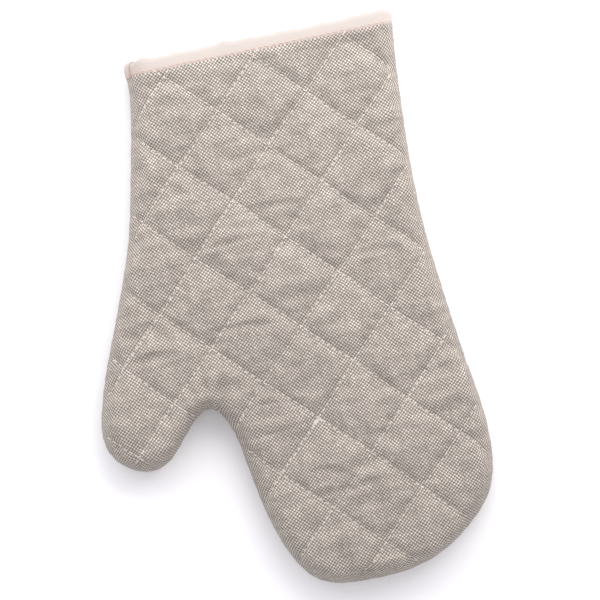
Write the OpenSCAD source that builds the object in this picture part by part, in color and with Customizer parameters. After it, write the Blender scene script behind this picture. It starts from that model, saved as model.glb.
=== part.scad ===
// Quilted oven mitt for the right hand, lying flat with its palm side up.
// Two quilted panels (outer cloth, wadding, lining) meet in a side seam, and a
// folded tape binds the open cuff. The thumb and the four fingers fold towards
// the palm. +X is the little-finger side, +Y the cuff, +Z the palm side.

/* [Panels] */
// Height of the side seam above the table
seam_height = 10; // [6:0.5:14]
// Rise of the palm panel above the side seam
palm_rise = 16; // [10:0.5:24]
// Width of the rounded border where the palm panel turns down to the seam
palm_turn = 12; // [12:0.5:15]
// Width of the rounded border where the back panel turns up to the seam
back_turn = 8; // [4:0.5:14]

/* [Layers] */
// Thickness of the woven outer cloth
cloth = 0.8; // [0.4:0.1:1.5]
// Thickness of the wadding
wadding = 4.5; // [2:0.1:8]
// Thickness of the lining
lining = 0.6; // [0.3:0.1:1.2]

/* [Quilting] */
// Distance between the quilting lines that fall to the right
falling_pitch = 38.2; // [20:0.1:60]
// Distance of the first falling line from the middle of the mitt
falling_start = 4.2; // [0:0.1:40]
// Distance between the quilting lines that rise to the right
rising_pitch = 36.2; // [20:0.1:60]
// Distance of the first rising line from the middle of the mitt
rising_start = 18.4; // [0:0.1:40]
// Width of the groove that a quilting line pulls in
groove_width = 1.2; // [0.8:0.1:3]
// Depth of the groove in the outer cloth
groove_depth = 0.5; // [0.2:0.05:0.7]
// Depth of the groove in the lining
lining_groove = 0.35; // [0.2:0.05:0.5]
// Width of the thread
thread = 0.6; // [0.3:0.05:1]
// Space between a thread and the sides of its groove
thread_space = 0.1; // [0.05:0.05:0.3]

/* [Side seam] */
// Width of the seam allowance that is turned inside
allowance_width = 5; // [3:0.5:10]
// Thickness of the overlocked allowance
allowance_thick = 3.6; // [2:0.1:5]

/* [Cuff binding] */
// Width of the tape on each face of the cuff
binding_width = 7.5; // [5:0.5:14]
// Thickness of the tape
tape = 0.6; // [0.3:0.1:1]
// Distance of the stitching from the edge of the tape
stitch_inset = 1.2; // [0.8:0.1:3]

/* [Folds] */
// Distance of the knuckle fold from the middle, towards the fingertips
knuckle_y = 78; // [60:1:100]
// Largest angle that the fingers fold to
knuckle_angle = 70; // [30:5:80]
// Point on the thumb fold, beside the crotch
thumb_fold_point = [-57.7, -57.4];
// Direction of the thumb fold, from the crotch across the thumb, in degrees
thumb_fold_direction = 138; // [120:1:150]
// Largest angle that the thumb folds to
thumb_angle = 60; // [30:5:70]
// Gap between two folding pieces at the fold line
fold_gap = 0.4; // [0.3:0.05:1]
// Extra opening of a fold beyond its largest angle, in degrees
fold_spare = 4; // [2:1:8]

/* [Hidden] */
// Outline of the lying mitt, from the thumb side of the cuff round the thumb,
// the crotch and the fingertips to the other side of the cuff
edge_points = [
  [-54, 150], [-55.4, 135], [-61.5, 104], [-72, 60], [-86, 22], [-100, -12],
  [-107.2, -34], [-109.4, -47], [-107.2, -59], [-98.5, -69], [-86, -73.8], [-73.5, -69.8],
  [-60.5, -56], [-53, -48.5], [-46, -45.4], [-40, -49.5], [-34.4, -63], [-30.5, -86],
  [-25.6, -112], [-17.5, -136], [-6.6, -152], [8, -158.6], [29, -160], [50, -158.6],
  [69, -152.5], [87, -141], [101.6, -126], [108.2, -108], [109.4, -89], [108.2, -70],
  [104.6, -44], [99.6, 0], [96.6, 40], [97, 80], [99.4, 118], [102.4, 150]
];
// Slope of each side of the cuff, sideways for each millimetre of length
cuff_slope = [0.05, 0.13];

mitt_end = 160;             // distance of the cuff edge from the middle
cuff_extra = 40;            // the outline runs on past the cuff, and is cut off there
cuff_strip = 40;            // length of the strip of outline that the binding follows
reach = 300;                // longer than anything in the mitt
turn_steps = 3;             // facets round the rounded border
lap = 2;                    // overlap of the flat plate and the border
quilt_margin = 1;           // distance of the quilting lines from the rounded border
crotch_side = 44;           // how far the knuckle fold runs past the middle, into the crotch
crotch_start = 5;           // how far the thumb fold starts outside the thumb, in the crotch

panel = cloth + wadding + lining;
hem_start = mitt_end - binding_width;
hem_end = mitt_end - tape;
nip = tape;                 // how far the binding presses the panel in
hem_cloth_depth = 2 * tape; // depth of the pressed outer cloth's inner face
bulge = 0.2;                // how far the binding stands proud of the lining
inner_tape = panel - tape + bulge;
hem_wadding_depth = inner_tape - lining;
stitch_depth = 0.4;         // depth of the channel that the tape's stitches lie in

function unit(v) = v / norm(v);
function last(list) = list[len(list) - 1];
function spline_point(a, b, c, d, t) =
  b + (c - a) * t / 2 + (2 * a - 5 * b + 4 * c - d) * t * t / 2
  + (3 * b - a - 3 * c + d) * t * t * t / 2;
function smooth(p, steps) = [
  for (i = [0 : len(p) - 2], s = [0 : steps - 1])
    spline_point(p[max(i - 1, 0)], p[i], p[i + 1], p[min(i + 2, len(p) - 1)], s / steps),
  last(p)
];
function on_side(point, slope) = point + cuff_extra * [slope, 1];

cuff_left = on_side(edge_points[0], cuff_slope[0]);
cuff_right = on_side(last(edge_points), cuff_slope[1]);
outline = concat([cuff_left], smooth(edge_points, 2), [cuff_right]);
// The part of the outline between two of its points, counted along edge_points
function stretch(first, last) = [for (i = [1 + 2 * first : 1 + 2 * last]) outline[i]];
thumb_outline = stretch(4, 15);
finger_outline = stretch(14, 31);
// A plain strip of the mitt that has the same sides at the cuff
cuff_outline = [
  cuff_left, edge_points[0], edge_points[0] - [0, cuff_strip],
  last(edge_points) - [0, cuff_strip], last(edge_points), cuff_right
];

// The inward direction of each corner of a path, long enough to mitre
function inward(a, b) = unit([a[1] - b[1], b[0] - a[0]]);
function mitre(path, i) =
  let (
    before = inward(path[max(i - 1, 0)], path[max(i, 1)]),
    after = inward(path[min(i, len(path) - 2)], path[min(i + 1, len(path) - 1)])
  )
  (before + after) / (1 + before * after);
function inset_path(path, d) = [for (i = [0 : len(path) - 1]) path[i] + d * mitre(path, i)];

// The rounded border at a depth below the outside: [inset, height] pairs
function border(depth, rise, turn) = [
  for (k = [0 : turn_steps])
    let (a = 90 * k / turn_steps)
    [depth + (turn - depth) * (1 - cos(a)), (rise - depth) * sin(a)],
  [turn + lap, rise - depth]
];

// One layer of a panel from the seam plane up, between two depths below the outside
module raised_layer(path, from, to, rise, turn) {
  outside = border(from, rise, turn);
  inside = border(to, rise, turn);
  m = len(outside);
  n = len(path);
  ring = concat(outside, [for (k = [m - 1 : -1 : 0]) inside[k]]);
  r = len(ring);
  corners = [
    for (i = [0 : n - 1], q = ring)
      let (p = path[i] + q[0] * mitre(path, i)) [p[0], p[1], q[1]]
  ];
  walls = [
    for (i = [0 : n - 2], j = [0 : r - 1])
      let (a = i * r + j, b = i * r + (j + 1) % r)
      each [[a, b, a + r], [b, b + r, a + r]]
  ];
  ends = [
    for (k = [0 : m - 2])
      let (a = k, b = k + 1, c = r - 2 - k, d = r - 1 - k, e = (n - 1) * r)
      each [[a, c, b], [a, d, c], [e + a, e + b, e + c], [e + a, e + c, e + d]]
  ];
  polyhedron(corners, concat(walls, ends));
  translate([0, 0, rise - to])
    linear_extrude(to - from) polygon(inset_path(path, turn + lap / 2));
}

// The space between two distances along the mitt
module along(from, to)
  translate([-reach, from, -reach]) cube([2 * reach, to - from, 2 * reach]);

// A layer of a panel above the seam plane: whole for the hand, with its pressed hem
// inside the binding, and only as far as needed round the thumb and the fingers
module layer(body, from, to, hem_from, hem_to, rise, turn) {
  if (body == "hand") {
    intersection() {
      raised_layer(outline, from, to, rise, turn);
      along(-reach, hem_start);
    }
    intersection() {
      raised_layer(cuff_outline, hem_from, hem_to, rise, turn);
      along(hem_start, hem_end);
    }
  }
  if (body == "thumb" || body == "thumb_fold") raised_layer(thumb_outline, from, to, rise, turn);
  if (body == "fingers" || body == "knuckle_fold") raised_layer(finger_outline, from, to, rise, turn);
}

// A ring round the cuff between two depths and two distances along the mitt
module cuff_ring(from, to, start, end)
  intersection() {
    union() {
      raised_layer(cuff_outline, from, to, palm_rise, palm_turn);
      mirror([0, 0, 1]) raised_layer(cuff_outline, from, to, seam_height, back_turn);
    }
    along(start, end);
  }

// The space beyond a fold line; a positive gap and lean keep clear of the fold
module beyond(point, direction, start, end, gap, lean)
  translate([point[0], point[1], 0]) rotate([90, 0, direction + 90])
    translate([0, 0, start]) linear_extrude(end - start)
      polygon([
        [gap, -reach], [reach, -reach], [reach, reach],
        [gap + reach * tan(lean), reach], [gap, 0]
      ]);

module beyond_knuckles(gap, lean)
  beyond([0, -knuckle_y], 180, -reach, crotch_side, gap, lean);
module beyond_thumb(gap, lean)
  beyond(thumb_fold_point, thumb_fold_direction, -crotch_start, reach, gap, lean);

knuckle_lean = (knuckle_angle + fold_spare) / 2;
thumb_lean = (thumb_angle + fold_spare) / 2;
clear = fold_gap / 2;       // a rigid piece's distance from the fold line
filler = fold_gap / 4;      // a fold piece's distance from the fold line

// Cuts what is given down to one body: hand, thumb, fingers, thumb_fold or knuckle_fold
module piece(body) {
  if (body == "hand")
    difference() {
      children();
      beyond_thumb(-clear, -thumb_lean);
      beyond_knuckles(-clear, -knuckle_lean);
    }
  if (body == "thumb") intersection() { children(); beyond_thumb(clear, thumb_lean); }
  if (body == "fingers") intersection() { children(); beyond_knuckles(clear, knuckle_lean); }
  if (body == "thumb_fold")
    difference() {
      intersection() { children(); beyond_thumb(-filler, -thumb_lean); }
      beyond_thumb(filler, thumb_lean);
    }
  if (body == "knuckle_fold")
    difference() {
      intersection() { children(); beyond_knuckles(-filler, -knuckle_lean); }
      beyond_knuckles(filler, knuckle_lean);
    }
}

// Parallel strips across the mitt, one pitch apart
module strips(angle, start, pitch, width)
  for (n = [-3 : 4])
    rotate(angle) translate([-reach, start + n * pitch - width / 2]) square([2 * reach, width]);

// The quilting lines of a panel, inside its rounded border and short of the binding
module quilt_lines(width, turn) {
  margin = quilt_margin + (groove_width - width) / 2;
  intersection() {
    union() {
      strips(-45, falling_start, falling_pitch, width);
      strips(45, rising_start, rising_pitch, width);
    }
    difference() {
      polygon(inset_path(outline, turn + margin));
      translate([-reach, hem_start - quilt_margin - margin]) square([2 * reach, reach]);
    }
  }
}

module quilt_bars(width, turn, low, high)
  translate([0, 0, low]) linear_extrude(high - low) quilt_lines(width, turn);

// The outer cloth of a panel with its quilting grooves
module cloth_layer(body, rise, turn)
  difference() {
    layer(body, 0, cloth, nip, hem_cloth_depth, rise, turn);
    quilt_bars(groove_width, turn, rise - groove_depth, rise + 1);
  }

module wadding_layer(body, rise, turn)
  layer(body, cloth, cloth + wadding, hem_cloth_depth, hem_wadding_depth, rise, turn);

// The lining with the grooves of the bobbin threads
module lining_layer(body, rise, turn)
  difference() {
    layer(body, cloth + wadding, panel, hem_wadding_depth, hem_wadding_depth + lining, rise, turn);
    quilt_bars(groove_width, turn, rise - panel - 1, rise - panel + lining_groove);
  }

// The needle thread on the outer cloth and the bobbin thread on the lining
module quilt_threads(rise, turn) {
  quilt_bars(thread, turn, rise - groove_depth, rise - thread_space);
  quilt_bars(thread, turn, rise - panel + thread_space, rise - panel + lining_groove);
}

module palm_cloth(body) piece(body) cloth_layer(body, palm_rise, palm_turn);
module palm_wadding(body) piece(body) wadding_layer(body, palm_rise, palm_turn);
module palm_lining(body) piece(body) lining_layer(body, palm_rise, palm_turn);
module palm_quilting(body) piece(body) quilt_threads(palm_rise, palm_turn);

module back_cloth(body) piece(body) mirror([0, 0, 1]) cloth_layer(body, seam_height, back_turn);
module back_wadding(body) piece(body) mirror([0, 0, 1]) wadding_layer(body, seam_height, back_turn);
module back_lining(body) piece(body) mirror([0, 0, 1]) lining_layer(body, seam_height, back_turn);
module back_quilting(body) piece(body) mirror([0, 0, 1]) quilt_threads(seam_height, back_turn);

// A flat ring that follows the side seam inside the mitt
module seam_ring(from, to, thick)
  intersection() {
    translate([0, 0, -thick / 2]) linear_extrude(thick) difference() {
      polygon(inset_path(outline, from));
      polygon(concat(inset_path(outline, to), [[last(outline)[0], reach], [outline[0][0], reach]]));
    }
    along(-reach, hem_start - quilt_margin);
  }

// The seam thread lies against the linings, and the allowance is beside it
seam_inset = panel + thread_space;
allowance_inset = seam_inset + thread + thread_space;
module side_seam(body) piece(body) seam_ring(seam_inset, seam_inset + thread, thread);
module seam_allowance(body)
  piece(body) seam_ring(allowance_inset, allowance_inset + allowance_width, allowance_thick);

stitch_start = hem_start + stitch_inset;
stitch_end = stitch_start + thread;

// The folded tape: outside, over the cut edge and inside, with a channel for its stitches
module folded_tape() {
  cuff_ring(stitch_depth, tape, hem_start, mitt_end);
  cuff_ring(0, stitch_depth, hem_start, stitch_start - thread_space);
  cuff_ring(0, stitch_depth, stitch_end + thread_space, mitt_end);
  cuff_ring(inner_tape, inner_tape + tape, hem_start, mitt_end);
  cuff_ring(0, inner_tape + tape, hem_end, mitt_end);
}

module tape_stitch() cuff_ring(thread_space, stitch_depth, stitch_start, stitch_end);

// Everything above is drawn from the plane of the side seam
module on_table() translate([0, 0, seam_height]) children();

cloth_colour = [0.71, 0.67, 0.64];
wadding_colour = [0.93, 0.92, 0.88];
lining_colour = [0.86, 0.82, 0.76];
thread_colour = [0.90, 0.87, 0.82];
binding_colour = [0.95, 0.91, 0.88];

module palm_cloth_hand() { color(cloth_colour) on_table() palm_cloth("hand"); }
module palm_cloth_thumb() { color(cloth_colour) on_table() palm_cloth("thumb"); }
module palm_cloth_fingers() { color(cloth_colour) on_table() palm_cloth("fingers"); }
module palm_cloth_thumb_fold() { color(cloth_colour) on_table() palm_cloth("thumb_fold"); }
module palm_cloth_knuckle_fold() { color(cloth_colour) on_table() palm_cloth("knuckle_fold"); }

module palm_wadding_hand() { color(wadding_colour) on_table() palm_wadding("hand"); }
module palm_wadding_thumb() { color(wadding_colour) on_table() palm_wadding("thumb"); }
module palm_wadding_fingers() { color(wadding_colour) on_table() palm_wadding("fingers"); }
module palm_wadding_thumb_fold() { color(wadding_colour) on_table() palm_wadding("thumb_fold"); }
module palm_wadding_knuckle_fold() { color(wadding_colour) on_table() palm_wadding("knuckle_fold"); }

module palm_lining_hand() { color(lining_colour) on_table() palm_lining("hand"); }
module palm_lining_thumb() { color(lining_colour) on_table() palm_lining("thumb"); }
module palm_lining_fingers() { color(lining_colour) on_table() palm_lining("fingers"); }
module palm_lining_thumb_fold() { color(lining_colour) on_table() palm_lining("thumb_fold"); }
module palm_lining_knuckle_fold() { color(lining_colour) on_table() palm_lining("knuckle_fold"); }

module palm_quilting_hand() { color(thread_colour) on_table() palm_quilting("hand"); }
module palm_quilting_thumb() { color(thread_colour) on_table() palm_quilting("thumb"); }
module palm_quilting_fingers() { color(thread_colour) on_table() palm_quilting("fingers"); }
module palm_quilting_thumb_fold() { color(thread_colour) on_table() palm_quilting("thumb_fold"); }
module palm_quilting_knuckle_fold() { color(thread_colour) on_table() palm_quilting("knuckle_fold"); }

module back_cloth_hand() { color(cloth_colour) on_table() back_cloth("hand"); }
module back_cloth_thumb() { color(cloth_colour) on_table() back_cloth("thumb"); }
module back_cloth_fingers() { color(cloth_colour) on_table() back_cloth("fingers"); }

module back_wadding_hand() { color(wadding_colour) on_table() back_wadding("hand"); }
module back_wadding_thumb() { color(wadding_colour) on_table() back_wadding("thumb"); }
module back_wadding_fingers() { color(wadding_colour) on_table() back_wadding("fingers"); }

module back_lining_hand() { color(lining_colour) on_table() back_lining("hand"); }
module back_lining_thumb() { color(lining_colour) on_table() back_lining("thumb"); }
module back_lining_fingers() { color(lining_colour) on_table() back_lining("fingers"); }

module back_quilting_hand() { color(thread_colour) on_table() back_quilting("hand"); }
module back_quilting_thumb() { color(thread_colour) on_table() back_quilting("thumb"); }
module back_quilting_fingers() { color(thread_colour) on_table() back_quilting("fingers"); }

module side_seam_hand() { color(thread_colour) on_table() side_seam("hand"); }
module side_seam_thumb() { color(thread_colour) on_table() side_seam("thumb"); }
module side_seam_fingers() { color(thread_colour) on_table() side_seam("fingers"); }

module seam_allowance_hand() { color(cloth_colour) on_table() seam_allowance("hand"); }
module seam_allowance_thumb() { color(cloth_colour) on_table() seam_allowance("thumb"); }
module seam_allowance_fingers() { color(cloth_colour) on_table() seam_allowance("fingers"); }

module cuff_binding() { color(binding_colour) on_table() folded_tape(); }
module binding_stitch() { color(thread_colour) on_table() tape_stitch(); }

palm_cloth_hand();
palm_cloth_thumb();
palm_cloth_fingers();
palm_cloth_thumb_fold();
palm_cloth_knuckle_fold();
palm_wadding_hand();
palm_wadding_thumb();
palm_wadding_fingers();
palm_wadding_thumb_fold();
palm_wadding_knuckle_fold();
palm_lining_hand();
palm_lining_thumb();
palm_lining_fingers();
palm_lining_thumb_fold();
palm_lining_knuckle_fold();
palm_quilting_hand();
palm_quilting_thumb();
palm_quilting_fingers();
palm_quilting_thumb_fold();
palm_quilting_knuckle_fold();
back_cloth_hand();
back_cloth_thumb();
back_cloth_fingers();
back_wadding_hand();
back_wadding_thumb();
back_wadding_fingers();
back_lining_hand();
back_lining_thumb();
back_lining_fingers();
back_quilting_hand();
back_quilting_thumb();
back_quilting_fingers();
side_seam_hand();
side_seam_thumb();
side_seam_fingers();
seam_allowance_hand();
seam_allowance_thumb();
seam_allowance_fingers();
cuff_binding();
binding_stitch();
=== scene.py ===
"""A quilted oven mitt lying palm side up: two padded panels, a side seam and a bound cuff.

Shapes are worked out in millimetres and written to the meshes in metres. A panel is drawn
flat first: every point of it knows its distance from the mitt's outline, and lift() raises
it to the rounded, quilted surface at a depth below the outside of the mitt.
"""

import math

import bpy
import numpy as np
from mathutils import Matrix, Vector
from mathutils.geometry import delaunay_2d_cdt


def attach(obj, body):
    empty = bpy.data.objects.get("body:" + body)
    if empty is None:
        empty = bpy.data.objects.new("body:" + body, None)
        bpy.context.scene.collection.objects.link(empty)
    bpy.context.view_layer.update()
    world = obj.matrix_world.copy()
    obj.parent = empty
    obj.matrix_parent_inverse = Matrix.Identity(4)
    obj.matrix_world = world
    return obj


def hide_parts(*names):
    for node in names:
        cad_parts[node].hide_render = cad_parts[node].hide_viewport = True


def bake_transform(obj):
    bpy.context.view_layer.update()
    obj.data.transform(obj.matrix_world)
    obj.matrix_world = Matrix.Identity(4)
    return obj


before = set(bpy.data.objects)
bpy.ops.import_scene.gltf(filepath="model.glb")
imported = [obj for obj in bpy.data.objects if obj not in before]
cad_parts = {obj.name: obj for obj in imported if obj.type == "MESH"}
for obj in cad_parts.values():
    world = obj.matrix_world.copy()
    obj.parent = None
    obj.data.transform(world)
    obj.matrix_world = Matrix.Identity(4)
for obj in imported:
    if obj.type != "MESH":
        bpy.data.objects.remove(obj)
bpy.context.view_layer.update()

MM = 0.001

# ---------------------------------------------------------------- sizes of the mitt, in mm

# The outline round the thumb, the crotch and the fingertips, as in the CAD model
EDGE_POINTS = [
    (-54, 150), (-55.4, 135), (-61.5, 104), (-72, 60), (-86, 22), (-100, -12),
    (-107.2, -34), (-109.4, -47), (-107.2, -59), (-98.5, -69), (-86, -73.8), (-73.5, -69.8),
    (-60.5, -56), (-53, -48.5), (-46, -45.4), (-40, -49.5), (-34.4, -63), (-30.5, -86),
    (-25.6, -112), (-17.5, -136), (-6.6, -152), (8, -158.6), (29, -160), (50, -158.6),
    (69, -152.5), (87, -141), (101.6, -126), (108.2, -108), (109.4, -89), (108.2, -70),
    (104.6, -44), (99.6, 0), (96.6, 40), (97, 80), (99.4, 118), (102.4, 150),
]
CUFF_SLOPES = (0.05, 0.13)  # sideways for each millimetre of length, left and right
SEAM_HEIGHT = 10
HEM_START = 151  # where the binding begins
HEM_END = 157.4  # where the panels end, inside the binding
CUFF_Y = 156  # the tape and its stitches follow the cuff's outline at this y
PAST_CUFF = 175  # the outline's two ends
HALF_WIDE = 112  # just outside the mitt, as is the next
LOWEST = -162
CUFF_ROUND = 347.3  # the way round the cuff, for the tape's colours
LAYERS = {  # depth of each layer's two faces below the outside
    "cloth": (0.0, 0.8),
    "wadding": (2.0, 4.7),
    "lining": (5.3, 5.9),
}
PANEL = 5.9  # thickness of all the layers
SPLIT_Y = -48  # the finger pieces start here, beside the crotch
CROTCH = np.array([-47.0, -45.5])

FALLING = {"angle": -45, "start": 4.2, "pitch": 38.2, "wander": 0.7, "seed": 1}
RISING = {"angle": 45, "start": 18.4, "pitch": 36.2, "wander": 0.9, "seed": 4}
GROOVE = 2.1  # depth that a quilting line pulls in
GROOVE_REACH = 3.4  # distance over which the padding swells again
LINES = range(-7, 8)  # numbers of the lines in a family, enough to cover the mitt
PUCKER_HEIGHT = 0.3  # the small wrinkles that run out from the stitches
PUCKER_SPACING = 8.5
PUCKER_REACH = 5.0
VALLEY_DEPTH = 1.9  # how far the side seam draws the cloth in
VALLEY_WIDTH = 2.6
ABOVE_TABLE = 0.02  # the lowest that anything lies

SPARE = 0.025  # extra length of the outer cloth, which makes it wrinkle between its stitches
SETTLING_FRAMES = 12
LONGEST_MOVE = 1.3  # how far a point of the cloth may move as it settles

TAPE = 0.65  # thickness of the binding tape
TAPE_LOW = 150.2  # its lower edge on the outside
TAPE_TOP = 160  # where its bumps are at their fullest
LAP = 0.75  # how far the tape's end stands off where it covers the start
LAP_LENGTH = 13.0
# Where the tape stands up in a fold: mm round the cuff from its left side, width, height
LUMPS = [(21, 3.5, 1.5), (70, 3.2, 2.0), (80, 6, 0.5), (118, 12, -0.5), (158, 9, 0.8)]

SEAM_INSET = 2.0  # the side seam's stitches, inside the outline
ALLOWANCE_INSET = 8.9  # the middle of the seam allowance, inside the outline
ALLOWANCE_SIZE = (4.6, 3.2)
SEAM_END = 151.5  # the seam and its allowance end here, at the cuff

# Width and height of the threads
QUILTING_STITCH = (0.56, 0.46)
EDGE_STITCH = (0.5, 0.42)
SEAM_STITCH = (0.5, 0.5)
OVERLOCK_LOOP = (0.45, 0.45)
STITCH_LENGTHS = (2.3, 3.2)  # shortest and longest, in the quilting
STITCH_GAPS = (0.9, 1.4)

# Creases of the lying mitt: x, y, angle in degrees, half length, half width, depth
CREASES = [
    (-70, -9.5, 2, 11, 2.2, 1.7),
    (-14, -2.5, -3, 16, 2.0, 1.4),
    (-35, -9, 5, 6, 1.8, 0.9),
    (-58, 3, 14, 8, 1.8, 0.7),
    (-17, 46, 7, 14, 1.8, 0.9),
    (-6, 53, 0, 10, 1.6, 0.5),
    (12, 62, 0, 14, 1.8, 0.7),
    (66, 25, -2, 14, 1.7, 0.6),
    (-36, -35, 66, 10, 2.2, 1.9),
    (-46, -34, 86, 9, 2.0, 1.4),
    (-54, -33, 100, 7, 1.8, 0.8),
    (-12, -49, 0, 12, 1.6, 0.6),
    (8, -64, 2, 14, 1.7, 0.6),
    (14, -93, -12, 8, 2.0, 1.0),
    (12, -105, 0, 10, 1.8, 0.8),
    (36, -104, 5, 9, 1.8, 0.8),
    (52, -78, 0, 16, 1.8, 0.5),
]


class Side:
    """One panel of the mitt: which way it bulges, how far, and over what border."""

    def __init__(self, name, way, rise, turn):
        self.name, self.way, self.rise, self.turn = name, way, rise, turn
        angle = np.linspace(0, math.pi / 2, 181)
        run = turn * (1 - np.cos(angle))
        up = rise * np.sin(angle)
        self.angle = angle
        self.arc = np.concatenate([[0], np.cumsum(np.hypot(np.diff(run), np.diff(up)))])

    def angle_at(self, far):
        """How far round the border a point lies: 0 at the seam, a quarter turn on the flat."""
        return np.arccos(1 - np.minimum(far, self.turn) / self.turn)

    def arc_at(self, far):
        """The way over the cloth from the seam to a point of the border."""
        return np.interp(self.angle_at(far), self.angle, self.arc)


PALM = Side("palm", 1, 16, 11)
BACK = Side("back", -1, 10, 8)

# ---------------------------------------------------------------- small helpers


def smoothstep(x):
    x = np.clip(x, 0, 1)
    return x * x * (3 - 2 * x)


def unit(vectors):
    return vectors / np.maximum(np.linalg.norm(vectors, axis=1), 1e-9)[:, None]


def waves(x, y, length, seed, count=7):
    """Smooth noise of about unit size, the sum of a few plane waves near one wavelength."""
    rng = np.random.default_rng(seed)
    total = np.zeros(np.shape(x))
    for _ in range(count):
        turn = rng.uniform(0, 2 * math.pi)
        wide = length * rng.uniform(0.7, 1.5)
        along = (x * math.cos(turn) + y * math.sin(turn)) * 2 * math.pi / wide
        total += np.cos(along + rng.uniform(0, 2 * math.pi))
    return total / math.sqrt(count / 2)


def spline(points, steps):
    """A smooth curve through the points."""
    p = np.array(points, float)
    curve = []
    for i in range(len(p) - 1):
        a, b, c, d = p[max(i - 1, 0)], p[i], p[i + 1], p[min(i + 2, len(p) - 1)]
        for t in np.arange(steps) / steps:
            curve.append(
                b
                + (c - a) * t / 2
                + (2 * a - 5 * b + 4 * c - d) * t * t / 2
                + (3 * b - a - 3 * c + d) * t**3 / 2
            )
    return np.array([*curve, p[-1]])


def resample(path, spacing):
    """The same path with its points an even distance apart, and their distances along it."""
    path = np.asarray(path, float)
    run = np.concatenate([[0], np.cumsum(np.linalg.norm(np.diff(path, axis=0), axis=1))])
    at = np.linspace(0, run[-1], max(2, int(round(run[-1] / spacing)) + 1))
    return np.stack([np.interp(at, run, path[:, k]) for k in range(path.shape[1])], 1), at


def side_at(y, right):
    """The x of the cuff's left or right side at y."""
    x, start = EDGE_POINTS[-1] if right else EDGE_POINTS[0]
    return x + (y - start) * CUFF_SLOPES[right]


# The outline runs on past the cuff, so that the cuff's edge has no corner to follow
ENDS = [(side_at(PAST_CUFF, right), PAST_CUFF) for right in (False, True)]
OUTLINE, OUTLINE_RUN = resample(np.vstack([ENDS[0], spline(EDGE_POINTS, 24), ENDS[1]]), 1.3)


def nearest(points):
    """Distance of each point from the outline, the way inwards, and the place along it."""
    a, b = OUTLINE[:-1], OUTLINE[1:]
    ab = b - a
    length = (ab**2).sum(1)
    inward = np.stack([-ab[:, 1], ab[:, 0]], 1) / np.sqrt(length)[:, None]
    far, way, place = [], [], []
    for some in np.array_split(points, max(1, len(points) // 3000)):  # saves memory
        t = ((some[:, None] - a) * ab).sum(2) / length
        foot = a + np.clip(t, 0, 1)[..., None] * ab
        gap = some[:, None] - foot
        size = (gap**2).sum(2)
        k = size.argmin(1)
        row = np.arange(len(some))
        d = np.sqrt(size[row, k])
        # a point on the outline itself takes the outline's own way inwards
        n = np.where(d[:, None] > 0.02, gap[row, k] / np.maximum(d, 0.02)[:, None], inward[k])
        far.append(d)
        way.append(n)
        place.append(OUTLINE_RUN[k] + np.clip(t[row, k], 0, 1) * np.sqrt(length[k]))
    return np.concatenate(far), np.concatenate(way), np.concatenate(place)


# ---------------------------------------------------------------- the quilted relief


def line_offset(family, number, along):
    """How far a quilting line wanders off its straight course."""
    phase = number * 1.7 + family["seed"]
    return family["wander"] * (
        0.7 * np.sin(along / 31 + phase) + 0.3 * np.sin(along / 11 + 2.3 * phase)
    )


def line_ways(family):
    """The way a family of quilting lines runs, and the way square to it."""
    turn = math.radians(family["angle"])
    way = np.array([math.cos(turn), math.sin(turn)])
    return way, np.array([-way[1], way[0]])


def line_coordinates(family, x, y):
    """(distance across to the nearest quilting line, distance along it, its number)."""
    way, square = line_ways(family)
    along = x * way[0] + y * way[1]
    across = x * square[0] + y * square[1]
    number = np.round((across - family["start"]) / family["pitch"])
    across = across - family["start"] - number * family["pitch"]
    return across - line_offset(family, number, along), along, number


def pull(family, x, y, spread):
    """How strongly a family of lines holds a layer down, from 0 to 1."""
    across, along, number = line_coordinates(family, x, y)
    reach = GROOVE_REACH * spread * (1 + 0.25 * np.sin(along / 7.3 + number * 2.1))
    return np.exp(-(np.hypot(across, 0.5) - 0.5) / reach)


def puckers(family, x, y):
    """Small wrinkles that run out from the stitches, square to their line."""
    across, along, number = line_coordinates(family, x, y)
    drift = 2.2 * np.sin(along / 23 + number) + 1.3 * np.sin(along / 9.1 + 2 * number)
    spread = np.exp(-np.abs(across) / PUCKER_REACH)
    strength = 0.55 + 0.45 * np.sin(along / 19 + 3 * number)
    turn = 2 * math.pi * along / PUCKER_SPACING + drift + 0.12 * across
    return PUCKER_HEIGHT * np.cos(turn) * spread * strength


def creases(x, y, spread):
    """Depth of the bent furrows, each with a low bank beside it."""
    total = np.zeros(np.shape(x))
    for cx, cy, angle, half_long, half_wide, depth in CREASES:
        turn = math.radians(angle)
        u = ((x - cx) * math.cos(turn) + (y - cy) * math.sin(turn)) / half_long
        v = ((y - cy) * math.cos(turn) - (x - cx) * math.sin(turn)) / (half_wide * spread)
        v = v + 0.5 * u * u
        total += 1.15 * depth * np.exp(-u * u) * (np.exp(-v * v) - 0.35 * np.exp(-((v - 2.2) ** 2)))
    return total


def relief(side, x, y, depth):
    """Height of the cloth over the plain panel: quilted pads, puckers and creases."""
    spread = 1 if depth < 1 else 1.7  # the layers inside follow more softly
    a, b = pull(FALLING, x, y, spread), pull(RISING, x, y, spread)
    height = -GROOVE * (a + b - a * b)
    height += puckers(FALLING, x, y) + puckers(RISING, x, y)
    # slow swells and small lumps, then fine wrinkles in some places only
    height += 0.55 * waves(x, y, 90, side.rise) + 0.14 * waves(x, y, 17, side.rise + 1)
    patches = np.clip(0.5 + 0.6 * waves(x, y, 60, side.rise + 2), 0, 1)
    height += 0.26 * patches * waves(x / 5, y, 9, side.rise + 3)
    if side is PALM:
        height -= creases(x, y, spread)
    return height


def sway(side, x, y):
    """Slow waves of the whole palm panel; the back panel lies flat on the table."""
    if side is BACK:
        return np.zeros(np.shape(x))
    return 0.9 * np.sin(x / 21 + 0.8 + y / 90) + 0.5 * np.sin(x / 11.5 - y / 60)


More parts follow.
